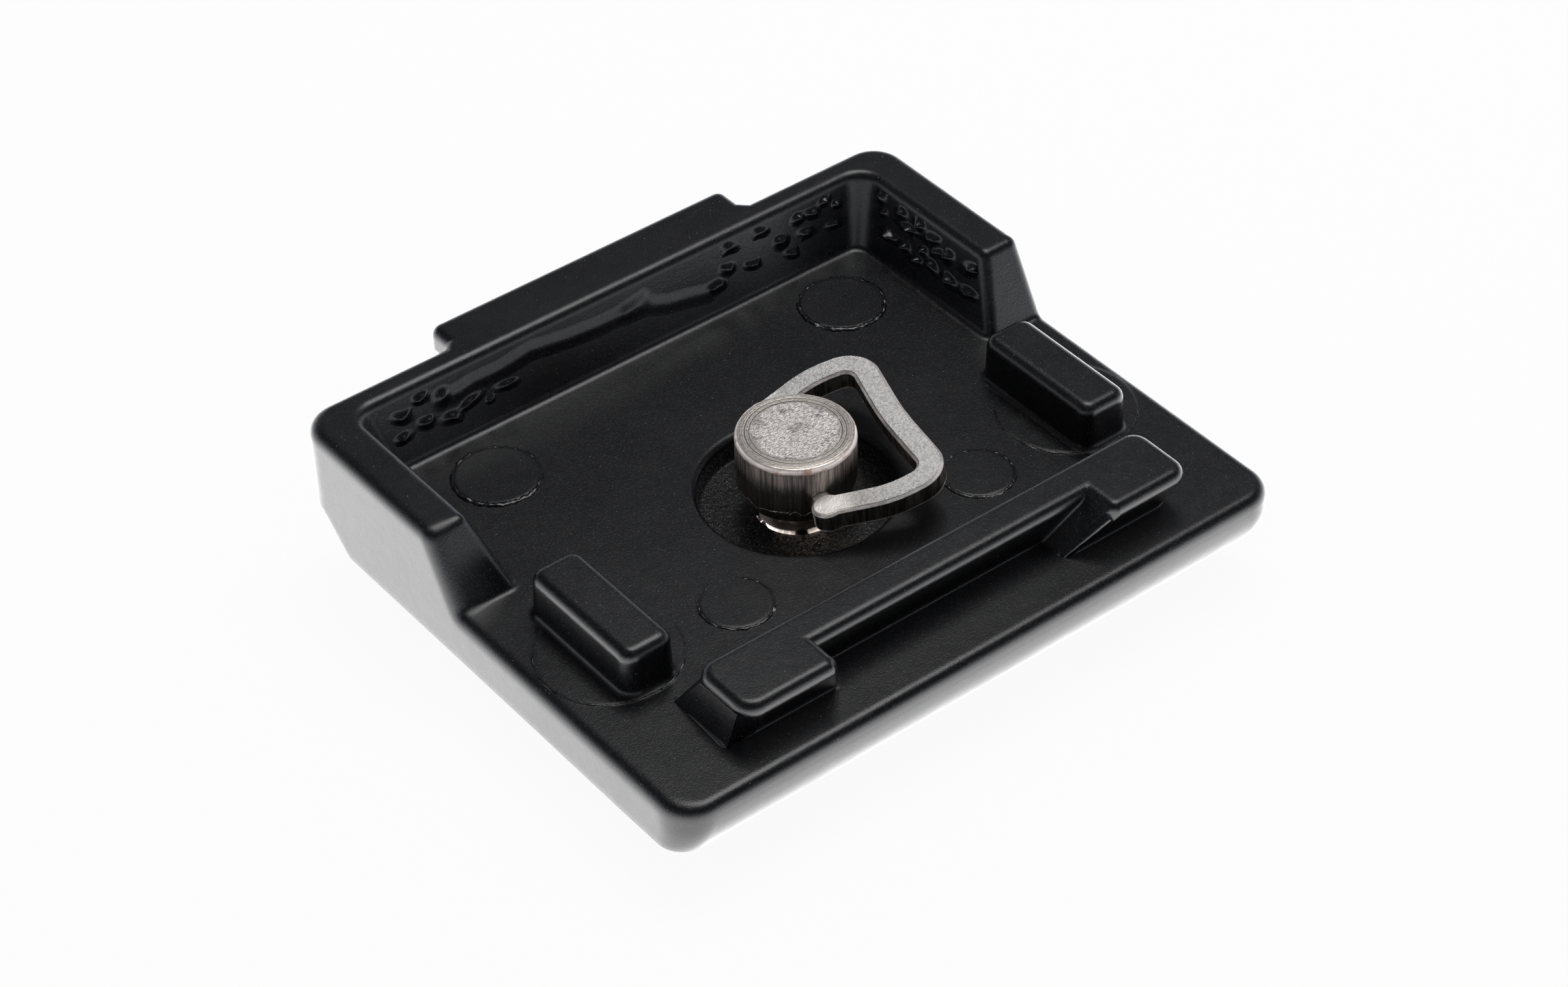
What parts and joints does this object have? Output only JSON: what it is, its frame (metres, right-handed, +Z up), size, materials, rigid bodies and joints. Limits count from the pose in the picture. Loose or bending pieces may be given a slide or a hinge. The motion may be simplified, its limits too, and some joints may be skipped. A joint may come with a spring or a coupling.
{
  "type": "tripod quick release plate",
  "caption": "Black die-cast tripod quick release plate, underside up, with a captive camera screw turned by a folding D-ring, clamp tongue, lock bar and rubber pad.",
  "frame": {"origin": "on the screw axis, at the camera face of the rubber pad", "axes": "+Z up out of the underside, which faces up as in the picture; +X along the lock bar; +Y towards the tongue"},
  "size_m": [0.06, 0.0541, 0.0145],
  "materials": {
    "plate_body": "semi-gloss black paint over a fine-grained die casting",
    "camera_screw": "turned and nickel plated, worn on the head",
    "d_ring": "grainy nickel plate with bright edges",
    "retaining_clip": "oiled spring steel",
    "rubber_pad": "matte black rubber"
  },
  "bodies": {
    "plate": {"plate_body": "plate_body", "rubber_pad": "rubber_pad"},
    "clip": {"retaining_clip": "retaining_clip"},
    "screw": {"camera_screw": "camera_screw"},
    "ring": {"d_ring": "d_ring"}
  },
  "joints": [
    {"name": "screw_lift", "type": "slide", "parent": "plate", "child": "clip", "axis": [0, 0, 1], "range_m": [-0.001, 0]},
    {"name": "screw_turn", "type": "hinge", "parent": "clip", "child": "screw", "pos_m": [0, 0, 0.00245], "axis": [0, 0, 1], "continuous": true},
    {"name": "ring_fold", "type": "hinge", "parent": "screw", "child": "ring", "pos_m": [0, 0, 0.00838], "axis": [-0.2504, -0.9681, 0], "range_deg": [-10, 170]}
  ]
}
